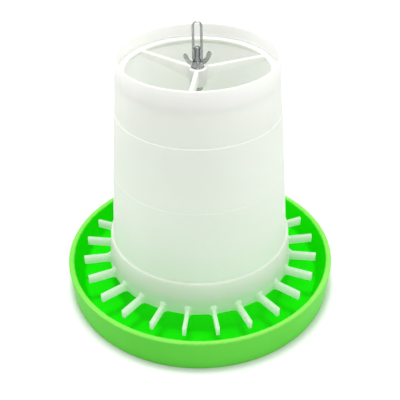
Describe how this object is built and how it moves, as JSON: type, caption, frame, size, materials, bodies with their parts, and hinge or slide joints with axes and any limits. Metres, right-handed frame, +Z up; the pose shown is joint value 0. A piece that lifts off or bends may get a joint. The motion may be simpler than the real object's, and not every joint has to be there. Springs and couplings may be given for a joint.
{
  "type": "hanging poultry feeder",
  "caption": "Hanging poultry feeder: a round pan, a tapered translucent hopper with a finger grille, and a threaded rod with wing nut and hanger loop.",
  "frame": {"origin": "centre of the pan's foot circle, on the surface it stands on", "axes": "+Z up along the rod; -Y is the side that one bridge arm and one grille finger point to"},
  "size_m": [0.278, 0.278, 0.2863],
  "materials": {
    "pan_plastic": "smooth moulded, semi-gloss",
    "hopper_plastic": "translucent moulded polypropylene",
    "bridge_plastic": "translucent moulded polypropylene",
    "zinc_steel": "bright zinc plated"
  },
  "bodies": {
    "pan_and_rod": {"feed_pan": "pan_plastic", "threaded_rod": "zinc_steel", "hanger_loop": "zinc_steel", "pan_washer_upper": "zinc_steel", "pan_nut_upper": "zinc_steel", "pan_washer_lower": "zinc_steel", "pan_nut_lower": "zinc_steel"},
    "bridge_washers": {"bridge_washer_upper": "zinc_steel", "bridge_washer_lower": "zinc_steel"},
    "hopper": {"hopper_shell": "hopper_plastic", "grille_ring": "hopper_plastic", "top_bridge": "bridge_plastic"},
    "wing_nut": {"wing_nut": "zinc_steel"},
    "stop_nut": {"stop_nut": "zinc_steel"}
  },
  "joints": [
    {"name": "hopper_height", "type": "slide", "parent": "pan_and_rod", "child": "bridge_washers", "axis": [0, 0, 1], "range_m": [-0.012, 0]},
    {"name": "hopper_turn", "type": "hinge", "parent": "bridge_washers", "child": "hopper", "pos_m": [0, 0, 0.235], "axis": [0, 0, 1], "continuous": true},
    {"name": "wing_nut_turn", "type": "hinge", "parent": "bridge_washers", "child": "wing_nut", "pos_m": [0, 0, 0.247], "axis": [0, 0, 1], "range_deg": [-5401, 1]},
    {"name": "stop_nut_turn", "type": "hinge", "parent": "bridge_washers", "child": "stop_nut", "pos_m": [0, 0, 0.2236], "axis": [0, 0, 1], "range_deg": [-5401, 1]}
  ],
  "couplings": [
    {"joint": "wing_nut_turn", "follows": "hopper_height", "rad_per_m": 7854},
    {"joint": "stop_nut_turn", "follows": "hopper_height", "rad_per_m": 7854}
  ]
}
